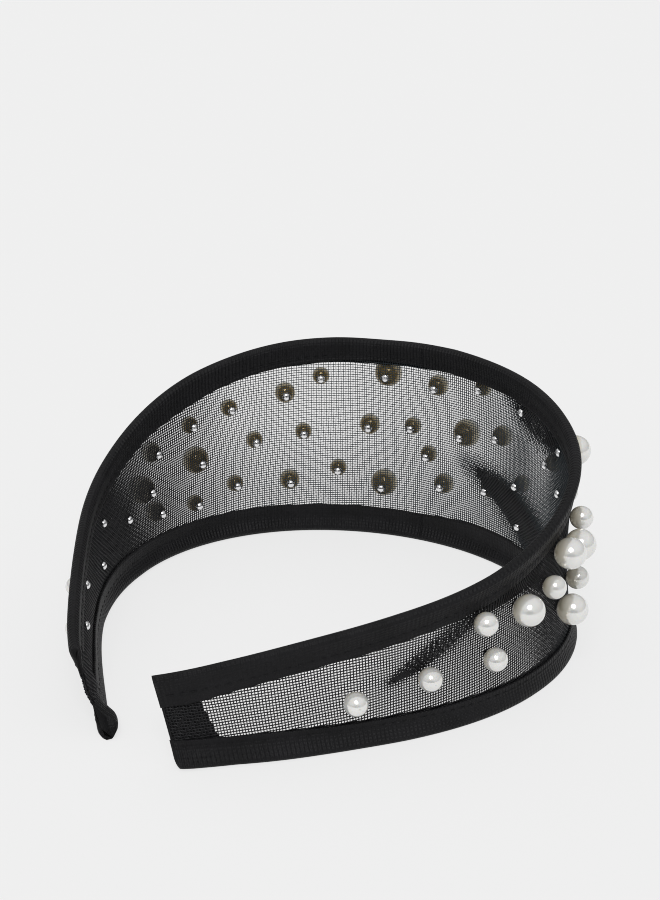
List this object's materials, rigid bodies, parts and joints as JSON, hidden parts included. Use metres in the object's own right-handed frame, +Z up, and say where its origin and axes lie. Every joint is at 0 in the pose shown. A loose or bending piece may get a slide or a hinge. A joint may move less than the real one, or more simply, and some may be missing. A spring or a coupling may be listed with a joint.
{
  "type": "headband",
  "caption": "Wide open-hoop headband of black net between two bound, wired edges, set with bead pearls on pins; its two arms spring open.",
  "frame": {"origin": "centre of the bounding box in plan, on the surface that the lower edge stands on", "axes": "+Z up across the band's width, from the lower edge to the upper edge; +Y from the open mouth towards the crown; +X towards the right arm"},
  "size_m": [0.1397, 0.1414, 0.0616],
  "materials": {
    "net": "open square weave of fine black thread, matt",
    "binding_tape": "black ribbed tape with a soft sheen",
    "hem": "net folded double, matt black",
    "sewing_thread": "twisted black polyester thread",
    "spring_wire": "drawn steel wire",
    "pearl": "ivory pearlescent coat",
    "pin": "polished silver"
  },
  "bodies": {
    "crown": {"crown_net": "net", "crown_upper_binding": "binding_tape", "crown_lower_binding": "binding_tape", "crown_upper_wire": "spring_wire", "crown_lower_wire": "spring_wire", "crown_upper_stitching": "sewing_thread", "crown_lower_stitching": "sewing_thread", "crown_large_pearls": "pearl", "crown_medium_pearls": "pearl", "crown_small_pearls": "pearl", "crown_pins": "pin"},
    "left_arm": {"left_net": "net", "left_upper_binding": "binding_tape", "left_lower_binding": "binding_tape", "left_upper_wire": "spring_wire", "left_lower_wire": "spring_wire", "left_upper_stitching": "sewing_thread", "left_lower_stitching": "sewing_thread", "left_hem": "hem", "left_large_pearls": "pearl", "left_medium_pearls": "pearl", "left_small_pearls": "pearl", "left_pins": "pin"},
    "right_arm": {"right_net": "net", "right_upper_binding": "binding_tape", "right_lower_binding": "binding_tape", "right_upper_wire": "spring_wire", "right_lower_wire": "spring_wire", "right_upper_stitching": "sewing_thread", "right_lower_stitching": "sewing_thread", "right_hem": "hem", "right_large_pearls": "pearl", "right_medium_pearls": "pearl", "right_pins": "pin"}
  },
  "joints": [
    {"name": "left_arm_flex", "type": "hinge", "parent": "crown", "child": "left_arm", "pos_m": [-0.0642, 0.0212, 0], "axis": [0, 0, -1], "range_deg": [0, 12], "stiffness_Nm_per_rad": 0.6},
    {"name": "right_arm_flex", "type": "hinge", "parent": "crown", "child": "right_arm", "pos_m": [0.0583, 0.0383, 0], "axis": [0, 0, 1], "range_deg": [0, 12], "stiffness_Nm_per_rad": 0.6}
  ]
}
